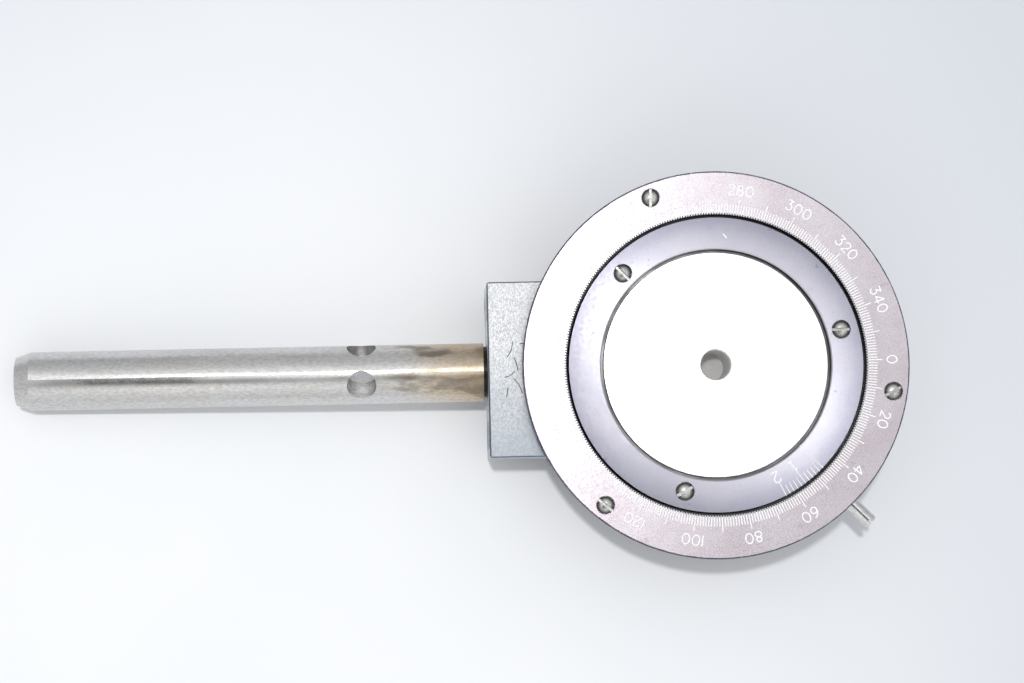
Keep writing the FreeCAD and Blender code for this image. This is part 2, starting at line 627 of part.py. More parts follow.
def shank():
    shoulder_x = -(BLOCK_FACE_X - SHANK_NECK_WIDTH)
    stub_x = -(BLOCK_FACE_X + SHANK_STUB_LENGTH)
    end_x = SHANK_LENGTH - BLOCK_FACE_X
    bar = revolved([
        (0, stub_x),
        (SHANK_STUB_R - SHANK_STUB_CHAMFER, stub_x),
        (SHANK_STUB_R, stub_x + SHANK_STUB_CHAMFER),
        (SHANK_STUB_R, -BLOCK_FACE_X),
        (SHANK_NECK_R, -BLOCK_FACE_X),
        (SHANK_NECK_R, shoulder_x),
        (SHANK_R - SHANK_EDGE_BREAK, shoulder_x),
        (SHANK_R, shoulder_x + SHANK_EDGE_BREAK),
        (SHANK_R, end_x - SHANK_END_CHAMFER),
        (SHANK_END_R, end_x),
        (0, end_x),
    ])
    bar = turned(bar, -90, FreeCAD.Vector(0, 1, 0))
    bar = moved(bar, 0, 0, SHANK_AXIS_Z)
    hole_x = BLOCK_FACE_X - CROSS_HOLE_FROM_BLOCK
    reach = SHANK_R + BEYOND
    for angle in (CROSS_HOLE_TILT, CROSS_HOLE_TILT + 90):
        y, z = on_circle(reach, angle)
        start = (hole_x, -y, SHANK_AXIS_Z - z)
        end = (hole_x, y, SHANK_AXIS_Z + z)
        bar = bar.cut(cylinder_along(CROSS_HOLE_R, start, end))
    flat_length = max(SET_SCREW_X) - min(SET_SCREW_X) + 2 * SHANK_FLAT_MARGIN
    flat_corner = FreeCAD.Vector(min(SET_SCREW_X) - SHANK_FLAT_MARGIN, -SHANK_STUB_R,
                                 SHANK_AXIS_Z - 2 * SHANK_STUB_R + SHANK_FLAT_DEPTH)
    return bar.cut(Part.makeBox(flat_length, 2 * SHANK_STUB_R, SHANK_STUB_R, flat_corner))


def shank_set_screws():
    tip_z = SHANK_AXIS_Z - SHANK_STUB_R + SHANK_FLAT_DEPTH
    screw = set_screw(SET_SCREW_R, tip_z - BLOCK_BOTTOM_Z - SET_SCREW_SUNK)
    return Part.makeCompound([moved(screw, x, 0, tip_z) for x in SET_SCREW_X])


def lock_shoe():
    shoe = cylinder_along(LOCK_THREAD_R, (SPINDLE_RIM_R + SHOE_GAP, 0, SHANK_AXIS_Z),
                          (SHOE_OUTER_X, 0, SHANK_AXIS_Z))
    return turned(shoe, LOCK_ANGLE)


def lock_screw():
    outline = [
        (0, SHOE_OUTER_X),
        (LOCK_THREAD_R - LOCK_THREAD_CHAMFER, SHOE_OUTER_X),
        (LOCK_THREAD_R, SHOE_OUTER_X + LOCK_THREAD_CHAMFER),
        (LOCK_THREAD_R, LOCK_THREAD_OUTER_X),
        (LOCK_PIN_R, LOCK_THREAD_OUTER_X),
        (LOCK_PIN_R, LOCK_TIP_R - LOCK_TIP_CHAMFER),
        (LOCK_PIN_R - LOCK_TIP_CHAMFER, LOCK_TIP_R),
        (0, LOCK_TIP_R),
    ]
    corner = FreeCAD.Vector(-LOCK_THREAD_R, -LOCK_SLOT_WIDTH / 2, LOCK_TIP_R - LOCK_SLOT_DEPTH)
    slot = Part.makeBox(2 * LOCK_THREAD_R, LOCK_SLOT_WIDTH, LOCK_SLOT_DEPTH + BEYOND, corner)
    screw = turned(revolved(outline).cut(slot), 90, FreeCAD.Vector(0, 1, 0))
    return turned(moved(screw, 0, 0, SHANK_AXIS_Z), LOCK_ANGLE)


PIECES = (
    table_disc, disc_screws, spindle, vernier_ring, vernier_screws, upper_race, thrust_washer,
    spring_washer, spindle_nut, nut_lock_screw, ball_cage, bearing_balls, housing,
    spindle_bush, lower_race, dial_ring, dial_screws, mounting_block, block_screws,
    block_dowels, shank, shank_set_screws, lock_shoe, lock_screw,
)

os.makedirs("parts", exist_ok=True)
for piece in PIECES:
    shape = piece()
    shape.exportStep("parts/" + piece.__name__ + ".step")
    print(piece.__name__, len(shape.Solids), round(shape.Volume, 2), shape.isValid())
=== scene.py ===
import json
import math

import bpy
from mathutils import Matrix, Vector
from mathutils.geometry import delaunay_2d_cdt


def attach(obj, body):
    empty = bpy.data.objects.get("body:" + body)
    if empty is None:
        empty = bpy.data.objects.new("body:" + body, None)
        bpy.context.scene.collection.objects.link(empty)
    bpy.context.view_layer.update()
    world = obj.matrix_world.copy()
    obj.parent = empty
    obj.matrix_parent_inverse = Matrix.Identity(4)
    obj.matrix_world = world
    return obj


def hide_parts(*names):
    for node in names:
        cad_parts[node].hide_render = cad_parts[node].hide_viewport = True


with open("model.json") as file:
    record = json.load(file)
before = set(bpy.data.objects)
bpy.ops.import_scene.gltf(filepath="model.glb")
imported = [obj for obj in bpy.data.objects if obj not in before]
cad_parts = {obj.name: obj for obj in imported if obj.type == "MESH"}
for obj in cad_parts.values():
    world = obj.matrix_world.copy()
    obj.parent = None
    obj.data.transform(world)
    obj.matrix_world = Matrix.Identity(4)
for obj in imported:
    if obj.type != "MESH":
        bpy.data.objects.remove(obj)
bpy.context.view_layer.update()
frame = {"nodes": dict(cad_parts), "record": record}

# A small graduated rotary table on a straight round shank, in the frame of its CAD model:
# metres, +Z out of the table face, the shank towards -X, the origin at the centre of the
# disc's top face.  The CAD nodes keep their shapes and get procedural finishes, and the two
# graduated rings are rebuilt here with their lines and numbers cut in and filled with paint.

MM = 0.001

# ---- graduated rings, in millimetres and degrees
RING_SCREW_COUNT = 3
COUNTERBORE_R = 2.55
COUNTERBORE_DEPTH = 1.7
SCREW_CLEARANCE_R = 1.6
RING_EDGE_BREAK = 0.1
GROOVE_DEPTH = 0.12
RIM_STEPS = 720
HOLE_STEPS = 48
DIAL = {
    "outer": 51.8, "bore": 40.2, "seat": -1.0, "top": 2.0,
    "outer_chamfer": 0.4, "inner_chamfer": RING_EDGE_BREAK,
    "screw_circle": 47.85, "first_screw_angle": -9.8,
}
VERNIER = {
    "outer": 39.5, "bore": 30.9, "seat": -1.8, "top": 1.2,
    "outer_chamfer": RING_EDGE_BREAK, "inner_chamfer": 0.3,
    "screw_circle": 34.85, "first_screw_angle": 14.5,
}
DIAL_ZERO_ANGLE = 0.50
DIAL_LINE_WIDTH = 0.32
DIAL_LINE_END = 43.2
DIAL_LONG_LINE_END = 44.7
DIAL_NUMBER_STEP = 20
NUMBER_FOOT_R = 45.7
NUMBER_HEIGHT = 2.7
NUMBER_GAP = 0.75
STROKE_WIDTH = 0.38
VERNIER_INDEX_ANGLE = -45.4
VERNIER_STEP = 1.8
VERNIER_COUNT = 10
VERNIER_LINE_WIDTH = 0.26
VERNIER_LINE_START = 36.85
VERNIER_LONG_START = 35.2
VERNIER_NUMBER_FOOT_R = 32.5
VERNIER_NUMBER_HEIGHT = 3.0
LINE_OVERRUN = 0.2  # how far a line is cut past the ring's edge
CAP_STEPS = 6  # steps in the half circle at a stroke's end
SHARPEST_MITRE = 0.5  # the least cosine that a mitre is worked out with
WELD_DISTANCE = 1e-5  # points of the outlines that lie closer than this become one
INSIDE_ONLY = 1  # the triangulation's mode that keeps what lies inside the outlines
SMOOTH_ANGLE = 30  # edges that bend more than this stay sharp

# ---- places on the CAD nodes that a finish follows, in millimetres
DISC_BORE_R = 3.97
BLOCK_FACE_X = -60.8
BLOCK_HALF_WIDTH = 23.5
BLOCK_TOP_Z = -2.3

# ---- camera and floor
CAMERA_PLACE = Vector((-79.62, -33.62, 637.86)) * MM
CAMERA_AIM = Vector((-54.39, 7.30, 0.0)) * MM
CAMERA_UP = Vector((0.020, 0.998, 0.065))
CAMERA_LENS = 84.375
CAMERA_SENSOR = 36.0
CAMERA_CLIP = 0.01
FLOOR_SLOPE = -0.0855
FLOOR_TOUCH = Vector((-15.8, 0.0, -37.3)) * MM
FLOOR_HALF_WIDTH = 8.0
# Painted light: the floor's colour is lightest round this point.
FLOOR_LIGHT_POOL_CENTRE = Vector((-110.0, -60.0, -30.0)) * MM
FLOOR_FADE = (0.06, 0.30)  # painted pool of light: the floor greys between these distances, in metres, from there

# ---- lights: each stands at this distance, in metres, and in the direction given from the origin
LIGHT_DISTANCE = 1.4
FLASH_TOWARDS = Vector((-0.09, 0.09, 1.0))
FLASH_SIZE = 0.06
FLASH_POWER = 8.2
GLARE_TOWARDS = Vector((-0.07, 0.17, 1.0))
GLARE_SIZE = 0.12
GLARE_POWER = 1.2
PANEL_TOWARDS = Vector((0.0, 0.055, 1.0))
PANEL_SIZE = 0.20
PANEL_LENGTH = 0.36
PANEL_POWER = 1.0
SKY_STRENGTH = 1.3
SKY_GREYS = ((0.0, 0.40), (0.5, 0.48), (0.8, 0.62), (0.93, 0.85), (0.985, 1.0))
DARK_TOWARDS = Vector((-0.10, -0.18, 1.0))
DARK_EDGE = (0.950, 0.984)  # cosines of the angles where the dark patch ends and is full
DARK_LEVEL = 0.0
NEAR_SIDE = (-0.50, -0.64)  # the sky's -Y side grows brighter between these values of y
NEAR_SIDE_GAIN = 1.6


# ---------------------------------------------------------------- single-stroke figures
def arc(centre_x, centre_y, radius_x, radius_y, start, end, steps=12):
    """Points along an elliptical arc, with angles in degrees counted anticlockwise."""
    turns = [math.radians(start + (end - start) * step / steps) for step in range(steps + 1)]
    return [(centre_x + radius_x * math.cos(turn), centre_y + radius_y * math.sin(turn))
            for turn in turns]


def oval(centre_x, centre_y, radius_x, radius_y):
    """A closed stroke: its last point is its first."""
    return arc(centre_x, centre_y, radius_x, radius_y, 0, 360, steps=28)


# Each figure: its width and its strokes, for a height of 1.
FIGURES = {
    "0": (0.72, [oval(0.36, 0.5, 0.36, 0.5)]),
    "1": (0.04, [[(0.02, 0.0), (0.02, 1.0)]]),
    "2": (0.60, [arc(0.30, 0.71, 0.29, 0.29, 165, -38) + [(0.02, 0.0), (0.62, 0.0)]]),
    "3": (0.60, [
        [(0.04, 1.0), (0.54, 1.0)],
        [(0.54, 1.0), (0.25, 0.61)],
        arc(0.29, 0.31, 0.30, 0.31, 98, -150, 14),
    ]),
    "4": (0.66, [
        [(0.50, 0.0), (0.50, 1.0)],
        [(0.50, 1.0), (0.0, 0.30)],
        [(0.0, 0.30), (0.68, 0.30)],
    ]),
    "6": (0.64, [
        oval(0.32, 0.31, 0.31, 0.31),
        arc(0.58, 0.36, 0.55, 0.64, 96, 176, 10),
    ]),
    "8": (0.62, [oval(0.31, 0.76, 0.24, 0.24), oval(0.31, 0.26, 0.31, 0.27)]),
}
SERIF_ONE = (0.30, [[(0.0, 0.80), (0.16, 1.0), (0.16, 0.0)], [(0.0, 0.0), (0.32, 0.0)]])


def number_strokes(text, foot_r, height, angle, figures):
    """The strokes of a number that stands on a circle, centred at this angle, tops outward."""
    widths = [figures[figure][0] * height for figure in text]
    pen = -(sum(widths) + NUMBER_GAP * (len(text) - 1)) / 2
    turn = math.radians(angle)
    outward = (math.cos(turn), math.sin(turn))
    across = (math.sin(turn), -math.cos(turn))
    strokes = []
    for figure, width in zip(text, widths):
        for stroke in figures[figure][1]:
            local = [(pen + x * height, foot_r + y * height) for x, y in stroke]
            strokes.append([(side * across[0] + reach * outward[0],
                             side * across[1] + reach * outward[1]) for side, reach in local])
        pen += width + NUMBER_GAP
    return strokes


# ---------------------------------------------------------------- flat outlines
def circle(radius, steps, centre=(0.0, 0.0)):
    turns = [2 * math.pi * step / steps for step in range(steps)]
    return [(centre[0] + radius * math.cos(turn), centre[1] + radius * math.sin(turn))
            for turn in turns]


def radial_line(angle, start_r, end_r, width):
    """The outline of a straight line that points at the centre."""
    turn = math.radians(angle)
    outward = Vector((math.cos(turn), math.sin(turn)))
    half = Vector((-outward.y, outward.x)) * width / 2
    return [tuple(point) for point in (outward * start_r - half, outward * end_r - half,
                                       outward * end_r + half, outward * start_r + half)]


def offset_side(points, closed, distance):
    """The points of a polyline moved sideways to its left, mitred at its corners."""
    moved = []
    last = len(points) - 1
    for index, point in enumerate(points):
        before = points[index - 1] if index or closed else None
        after = points[(index + 1) % len(points)] if index < last or closed else None
        arriving = (point - before).normalized() if before is not None else None
        leaving = (after - point).normalized() if after is not None else arriving
        arriving = leaving if arriving is None else arriving
        left = Vector((-arriving.y, arriving.x)) + Vector((-leaving.y, leaving.x))
        left.normalize()
        sideways = Vector((-leaving.y, leaving.x))
        moved.append(point + left * distance / max(left.dot(sideways), SHARPEST_MITRE))
    return moved


def end_cap(point, inward, half_width):
    """Points round the end of a stroke, from its left side to its right."""
    start = math.atan2(inward.y, inward.x) + math.pi / 2
    turns = [start + math.pi * step / CAP_STEPS for step in range(1, CAP_STEPS)]
    return [point + Vector((math.cos(turn), math.sin(turn))) * half_width for turn in turns]


def stroke_outlines(stroke, width):
    """Outlines of a pen stroke: (outline, True) adds, and (outline, False) is its inside."""
    points = [Vector(point) for point in stroke]
    half = width / 2
    closed = (points[0] - points[-1]).length < width / 10
    if closed:
        points = points[:-1]
        left = offset_side(points, True, half)
        right = offset_side(points, True, -half)
        outside, inside = (right, left) if area(right) > area(left) else (left, right)
        return [(outside, True), (inside, False)]
    left = offset_side(points, False, half)
    right = offset_side(points, False, -half)
    tail = end_cap(points[0], points[1] - points[0], half)
    head = end_cap(points[-1], points[-2] - points[-1], half)
    return [(left + head[::-1] + right[::-1] + tail[::-1], True)]


def area(outline):
    pairs = zip(outline, outline[1:] + outline[:1])
    return abs(sum(a[0] * b[1] - b[0] * a[1] for a, b in pairs)) / 2


def anticlockwise(outline):
    pairs = zip(outline, outline[1:] + outline[:1])
    turning = sum(a[0] * b[1] - b[0] * a[1] for a, b in pairs)
    return list(outline) if turning > 0 else list(outline)[::-1]


def triangulate(outlines):
    """Triangulate closed outlines: the points, and each triangle with the outlines round it."""
    points, faces = [], []
    for outline in outlines:
        start = len(points)
        points += [Vector((point[0], point[1])) for point in anticlockwise(outline)]
        faces.append(list(range(start, len(points))))
    found, _, triangles, _, _, inside = delaunay_2d_cdt(points, [], faces, INSIDE_ONLY,
                                                        WELD_DISTANCE)
    return found, list(zip(triangles, map(set, inside)))


# ---------------------------------------------------------------- the engraved ring solid
METAL, PAINT = 0, 1
HEIGHT_DIGITS = 3  # heights are kept to a thousandth of a millimetre, so that they match
PLACE_DIGITS = 5  # vertices that agree to this many digits are one vertex


class RingMesh:
    """Vertices and faces of one ring, in millimetres until it is made."""

    def __init__(self):
        self.vertices = []
        self.known = {}
        self.faces = []
        self.materials = []

    def vertex(self, point, height):
        key = tuple(round(value, PLACE_DIGITS) for value in (point[0], point[1], height))
        if key not in self.known:
            self.known[key] = len(self.vertices)
            self.vertices.append(Vector((point[0], point[1], height)) * MM)
        return self.known[key]

    def face(self, corners, material=METAL):
        if len(set(corners)) > 2:
            self.faces.append(corners)
            self.materials.append(material)

    def make(self, name, materials):
        mesh = bpy.data.meshes.new(name)
        mesh.from_pydata(self.vertices, [], self.faces)
        mesh.polygons.foreach_set("material_index", self.materials)
        for material in materials:
            mesh.materials.append(material)
        mesh.shade_smooth()
        mesh.set_sharp_from_angle(angle=math.radians(SMOOTH_ANGLE))
        mesh.validate()
        piece = bpy.data.objects.new(name, mesh)
        bpy.context.scene.collection.objects.link(piece)
        return piece


def engraved_ring(name, size, lines, strokes, materials):
    """A ring with a chamfered top, engraved lines and figures, and counterbored holes."""
    spots = [(size["screw_circle"] * math.cos(turn), size["screw_circle"] * math.sin(turn))
             for turn in (math.radians(size["first_screw_angle"] + 360 * step / RING_SCREW_COUNT)
                          for step in range(RING_SCREW_COUNT))]
    # Outlines are told apart by their place in this list.
    outlines = [
        circle(size["outer"], RIM_STEPS),
        circle(size["bore"], RIM_STEPS),
        circle(size["outer"] - size["outer_chamfer"], RIM_STEPS),
        circle(size["bore"] + size["inner_chamfer"], RIM_STEPS),
    ]
    rim_id, bore_id = 0, 1
    seats = range(len(outlines), len(outlines) + RING_SCREW_COUNT)
    outlines += [circle(COUNTERBORE_R, HOLE_STEPS, spot) for spot in spots]
    holes = range(len(outlines), len(outlines) + RING_SCREW_COUNT)
    outlines += [circle(SCREW_CLEARANCE_R, HOLE_STEPS, spot) for spot in spots]
    cut, spared = set(), {}
    for line in lines:
        cut.add(len(outlines))
        outlines.append(line)
    for stroke in strokes:
        made = stroke_outlines(stroke, STROKE_WIDTH)
        cut.add(len(outlines))
        if len(made) == 2:
            spared[len(outlines)] = len(outlines) + 1
        outlines += [outline for outline, _ in made]

    top, seat = size["top"], size["seat"]

    def surface(point):
        """The height of the ring's top, with its two chamfers."""
        radius = math.hypot(point[0], point[1])
        outer_drop = radius - (size["outer"] - size["outer_chamfer"])
        inner_drop = size["bore"] + size["inner_chamfer"] - radius
        return top - max(outer_drop, inner_drop, 0.0)

    def height(kind, point):
        """The height of a point in a counterbore's seat, in a groove or on the face."""
        if kind == "seat":
            return round(top - COUNTERBORE_DEPTH, HEIGHT_DIGITS)
        lowest = top - GROOVE_DEPTH if kind == "groove" else top
        return round(min(surface(point), lowest), HEIGHT_DIGITS)

    # The top: every triangle lies on the face, in a groove or in a counterbore's seat.
    points, triangles = triangulate(outlines)
    kept = []
    for corners, inside in triangles:
        if rim_id not in inside or bore_id in inside or inside & set(holes):
            continue
        grooved = any(mark in inside and spared.get(mark) not in inside for mark in cut)
        kind = "seat" if inside & set(seats) else "groove" if grooved else "face"
        kept.append((corners, kind))

    levels = {}
    sides = {}
    for corners, kind in kept:
        for index, corner in enumerate(corners):
            levels.setdefault(corner, set()).add(height(kind, points[corner]))
            sides[(corner, corners[(index + 1) % len(corners)])] = kind
    ring = RingMesh()
    for corners, kind in kept:
        material = PAINT if kind == "groove" else METAL
        ring.face([ring.vertex(points[c], height(kind, points[c])) for c in corners], material)

    def wall(start, end, start_low, end_low, kind):
        """The step below one side of a triangle, down to the given heights."""
        start_top = height(kind, points[start])
        end_top = height(kind, points[end])
        down = sorted((z for z in levels[start] if start_low <= z <= start_top), reverse=True)
        up = sorted(z for z in levels[end] if end_low <= z <= end_top)
        corners = [ring.vertex(points[start], z) for z in down]
        corners += [ring.vertex(points[end], z) for z in up]
        ring.face(corners)

    # The walls: at each height step on the top, and down to the underside at every free edge.
    rim_foot = round(seat + RING_EDGE_BREAK, HEIGHT_DIGITS)
    edge_sides = [side for side in sides if (side[1], side[0]) not in sides]
    rim_r = size["outer"] - size["outer_chamfer"] / 2
    on_rim = {corner for side in edge_sides for corner in side if points[corner].length > rim_r}
    for side in edge_sides:
        for corner in side:
            levels[corner].add(rim_foot if corner in on_rim else seat)
    for (start, end), kind in sides.items():
        beyond = sides.get((end, start))
        if beyond is None:
            wall(start, end, seat, seat, kind)
            continue
        start_low = height(beyond, points[start])
        end_low = height(beyond, points[end])
        start_drop = height(kind, points[start]) - start_low
        end_drop = height(kind, points[end]) - end_low
        if start_drop > 0 or end_drop > 0:
            wall(start, end, start_low, end_low, kind)

    shrink = (size["outer"] - RING_EDGE_BREAK) / size["outer"]

    def foot_point(corner):
        return points[corner] * (shrink if corner in on_rim else 1.0)

    for start, end in edge_sides:
        if start in on_rim:
            ring.face([ring.vertex(points[start], rim_foot),
                       ring.vertex(foot_point(start), seat),
                       ring.vertex(foot_point(end), seat),
                       ring.vertex(points[end], rim_foot)])
    # The underside: the free edges are joined into loops, and the largest is the rim.
    following = dict(edge_sides)
    loops = []
    while following:
        corner = next(iter(following))
        loop = []
        while corner in following:
            loop.append(foot_point(corner))
            corner = following.pop(corner)
        loops.append(loop)
    loops.sort(key=area, reverse=True)
    found, under = triangulate(loops)
    for corners, inside in under:
        if inside == {0}:
            ring.face([ring.vertex(found[c], seat) for c in reversed(corners)])
    return ring.make(name, materials)


# ---------------------------------------------------------------- procedural finishes
TURNED = (0.05, 0.05, 1.0)  # noise stretched like this runs round a turned side
SCRATCH_WIDTH = 0.16
# Each scratch on the block: its middle x and y, heading, bend radius and length.
BLOCK_SCRATCHES = (
    (-54.6, 5.2, 70.0, 6.0, 4.2),
    (-53.2, 1.4, 105.0, 9.0, 3.6),
    (-55.0, -1.6, 30.0, 4.0, 3.0),
    (-52.6, -4.4, 120.0, 7.0, 4.4),
    (-55.8, -6.2, 80.0, 12.0, 2.4),
    (-51.2, 7.0, 15.0, 15.0, 2.0),
)


class Look:
    """A Principled material that is built up from procedural nodes, call by call."""

    def __init__(self, name, metallic=1.0):
        self.material = bpy.data.materials.new(name)
        self.material.use_nodes = True
        self.tree = self.material.node_tree
        self.shader = self.tree.nodes["Principled BSDF"]
        self.shader.inputs["Metallic"].default_value = metallic
        coordinates = self.add("ShaderNodeTexCoord").outputs
        self.place = coordinates["Object"]
        self.normal = coordinates["Normal"]
        self.axes = self.add("ShaderNodeSeparateXYZ", {0: self.place}).outputs

    def add(self, kind, inputs=None, **settings):
        node = self.tree.nodes.new(kind)
        for name, value in settings.items():
            setattr(node, name, value)
        for socket, value in (inputs or {}).items():
            if isinstance(value, bpy.types.NodeSocket):
                self.tree.links.new(value, node.inputs[socket])
            else:
                node.inputs[socket].default_value = value
        return node

    def noise(self, grain, stretch=(1.0, 1.0, 1.0), detail=3.0, shift=0.0):
        """Noise from 0 to 1 with features of about this many metres."""
        place = self.add("ShaderNodeMapping", {0: self.place, 1: (shift, shift, shift),
                                               3: stretch}).outputs[0]
        return self.add("ShaderNodeTexNoise", {"Vector": place, "Scale": 1.0 / grain,
                                               "Detail": detail}).outputs[0]

    def step(self, value, low, high, to_low=0.0, to_high=1.0):
        """A smooth step of a value from low to high."""
        return self.add("ShaderNodeMapRange", {"Value": value, 1: low, 2: high, 3: to_low,
                                               4: to_high},
                        interpolation_type="SMOOTHSTEP").outputs[0]

    def step_at(self, value, edge, start, end, to_low=0.0, to_high=1.0):
        """A smooth step between two places that are given in millimetres from an edge."""
        return self.step(value, (edge + start) * MM, (edge + end) * MM, to_low, to_high)

    def math(self, operation, first, second=0.0):
        return self.add("ShaderNodeMath", {0: first, 1: second}, operation=operation).outputs[0]

    def distance(self, spot):
        return self.add("ShaderNodeVectorMath", {0: self.place, 1: spot},
                        operation="DISTANCE").outputs["Value"]

    def scratch(self, middle, heading, bend_r, length, width):
        """1 along a thin curved scratch in a level face, and 0 beside it."""
        turn = math.radians(heading)
        centre = middle + Vector((-math.sin(turn), math.cos(turn), 0.0)) * bend_r
        off_line = self.math("ABSOLUTE", self.math("SUBTRACT", self.distance(centre), bend_r))
        along = self.distance(middle)
        return self.math("MULTIPLY", self.step(off_line, width / 2, width, 1.0, 0.0),
                         self.step(along, length / 2, length / 2 + width, 1.0, 0.0))

    def radius(self):
        """The distance from the turning axis."""
        flat = self.add("ShaderNodeCombineXYZ", {0: self.axes[0], 1: self.axes[1]}).outputs[0]
        return self.add("ShaderNodeVectorMath", {0: flat}, operation="LENGTH").outputs["Value"]

    def blend(self, amount, first, second):
        node = self.add("ShaderNodeMix", data_type="RGBA")
        for socket, value in ((node.inputs[0], amount), (node.inputs[6], first),
                              (node.inputs[7], second)):
            if isinstance(value, bpy.types.NodeSocket):
                self.tree.links.new(value, socket)
            elif isinstance(value, tuple):
                socket.default_value = (*value, 1.0)
            else:
                socket.default_value = value
        return node.outputs[2]

    def ramp(self, value, stops):
        node = self.add("ShaderNodeValToRGB", {0: value})
        elements = node.color_ramp.elements
        elements[0].position, elements[1].position = stops[0][0], stops[-1][0]
        elements[0].color, elements[1].color = (*stops[0][1], 1.0), (*stops[-1][1], 1.0)
        for position, colour in stops[1:-1]:
            elements.new(position).color = (*colour, 1.0)
        return node.outputs[0]

    def colour(self, value):
        if isinstance(value, tuple):
            self.shader.inputs["Base Color"].default_value = (*value, 1.0)
        else:
            self.tree.links.new(value, self.shader.inputs["Base Color"])

    def rough(self, value):
        self.tree.links.new(value, self.shader.inputs["Roughness"])

    def turned(self, amount):
        """Stretch the reflections outwards, as on a faced surface with round tool marks."""
        round_axis = self.add("ShaderNodeTangent", direction_type="RADIAL", axis="Z").outputs[0]
        self.tree.links.new(round_axis, self.shader.inputs["Tangent"])
        self.shader.inputs["Anisotropic"].default_value = amount
        self.shader.inputs["Anisotropic Rotation"].default_value = 0.25

    def bump(self, height, depth):
        """Relief of this many metres."""
        self.tree.links.new(self.add("ShaderNodeBump", {"Height": height, "Distance": depth,
                                                        "Strength": 1.0}).outputs[0],
                            self.shader.inputs["Normal"])


def dial_finish():
    look = Look("aged_bluing_mauve")
    radius = look.radius()
    rim, bore = DIAL["outer"], DIAL["bore"]
    broad = look.noise(0.012, detail=5.0)
    fine = look.noise(0.0006, detail=3.0, shift=3.0)
    colour = look.blend(look.step(broad, 0.35, 0.65), (0.500, 0.462, 0.492), (0.460, 0.412, 0.446))
    colour = look.blend(look.step(fine, 0.45, 0.80, 0.0, 0.30), colour, (0.27, 0.24, 0.30))
    stain = look.step(look.noise(0.006, detail=5.0, shift=21.0), 0.66, 0.74, 0.0, 0.35)
    colour = look.blend(stain, colour, (0.20, 0.17, 0.22))
    # Painted shade: a dark line along the rim's chamfer and side, with a wobbly inner edge.
    rim_shade_radius = look.math("ADD", radius, look.math("MULTIPLY", look.noise(0.0030), 0.0006))
    colour = look.blend(look.step_at(rim_shade_radius, rim, -0.15, 0.05), colour, (0.13, 0.12, 0.18))
    chips = look.math("MULTIPLY", look.step(look.noise(0.0014, shift=7.0), 0.66, 0.71),
                      look.step_at(radius, rim, -0.7, -0.4))
    colour = look.blend(chips, colour, (0.50, 0.49, 0.50))
    # Old oil and painted shade: the bore wall below the top goes near black in the gap between the
    # dial and the vernier.
    oil_and_gap_shade = look.math("MULTIPLY", look.step_at(radius, bore, 0.02, 0.10, 1.0, 0.0),
                      look.step_at(look.axes[2], DIAL["top"], -0.20, -0.14, 1.0, 0.0))
    look.colour(look.blend(oil_and_gap_shade, colour, (0.030, 0.032, 0.036)))
    look.rough(look.step(look.noise(0.0008, shift=1.0), 0.2, 0.8, 0.22, 0.30))
    look.bump(fine, 0.000003)
    return look.material


def vernier_finish():
    look = Look("aged_bluing_lavender")
    radius = look.radius()
    rim, bore = VERNIER["outer"], VERNIER["bore"]
    broad = look.noise(0.010, detail=5.0, shift=11.0)
    fine = look.noise(0.0005, detail=3.0, shift=5.0)
    colour = look.blend(look.step(broad, 0.35, 0.65), (0.390, 0.388, 0.458), (0.428, 0.420, 0.478))
    colour = look.blend(look.step(fine, 0.45, 0.80, 0.0, 0.25), colour, (0.22, 0.22, 0.31))
    # Lighter towards the bore and darker towards the rim.
    lighter_inwards = look.step_at(radius, bore, 0.3, 6.1, 0.50, 0.0)
    colour = look.blend(lighter_inwards, colour, (0.62, 0.60, 0.66))
    darker = look.step_at(radius, rim, -4.5, 0.1, 0.0, 0.50)
    colour = look.blend(darker, colour, (0.22, 0.21, 0.27))
    scuffs = look.math("MULTIPLY", look.step(look.noise(0.0007, detail=2.0, shift=17.0), 0.58, 0.66),
                       look.step(look.noise(0.0065, shift=19.0), 0.58, 0.66, 0.0, 0.5))
    colour = look.blend(scuffs, colour, (0.13, 0.13, 0.20))
    worn = look.step_at(radius, bore, 0.15, 0.35, 1.0, 0.0)
    colour = look.blend(worn, colour, (0.62, 0.62, 0.65))
    nick = look.scratch(Vector((3.2, 34.4, VERNIER["top"])) * MM, -48.0, 12.0 * MM, 1.3 * MM,
                        0.20 * MM)
    colour = look.blend(nick, colour, (0.85, 0.85, 0.86))
    # Painted shade below the top: the bore wall goes dark in the gap round the disc, and the outer
    # wall goes near black with old oil and painted shade in the gap below the dial.
    under_lip = look.step_at(look.axes[2], VERNIER["top"], -0.35, -0.25, 1.0, 0.0)
    bore_wall_shade = look.math("MULTIPLY", under_lip, look.step_at(radius, bore, 0.02, 0.08, 1.0, 0.0))
    colour = look.blend(bore_wall_shade, colour, (0.10, 0.11, 0.11))
    oil_and_gap_shade = look.math("MULTIPLY", under_lip, look.step_at(radius, rim, -0.10, -0.05))
    look.colour(look.blend(oil_and_gap_shade, colour, (0.045, 0.050, 0.048)))
    look.rough(look.step(look.noise(0.0008, shift=2.0), 0.2, 0.8, 0.28, 0.36))
    look.turned(0.75)
    look.bump(fine, 0.000003)
    return look.material


def paint_finish():
    look = Look("engraving_paint", metallic=0.0)
    worn = look.step(look.noise(0.0009, shift=9.0), 0.62, 0.78, 0.0, 0.3)
    colour = look.blend(worn, (0.95, 0.95, 0.95), (0.52, 0.48, 0.51))
    radius = look.radius()
    # The paint goes dark at the lines' inner ends, along the dial's bore edge.
    dark_inner_ends = look.math("MULTIPLY", look.step_at(radius, DIAL["bore"], -0.3, -0.2),
                        look.step_at(radius, DIAL["bore"], 0.5, 0.4))
    look.colour(look.blend(dark_inner_ends, colour, (0.05, 0.08, 0.10)))
    look.rough(look.step(look.noise(0.0006), 0.2, 0.8, 0.5, 0.75))
    return look.material


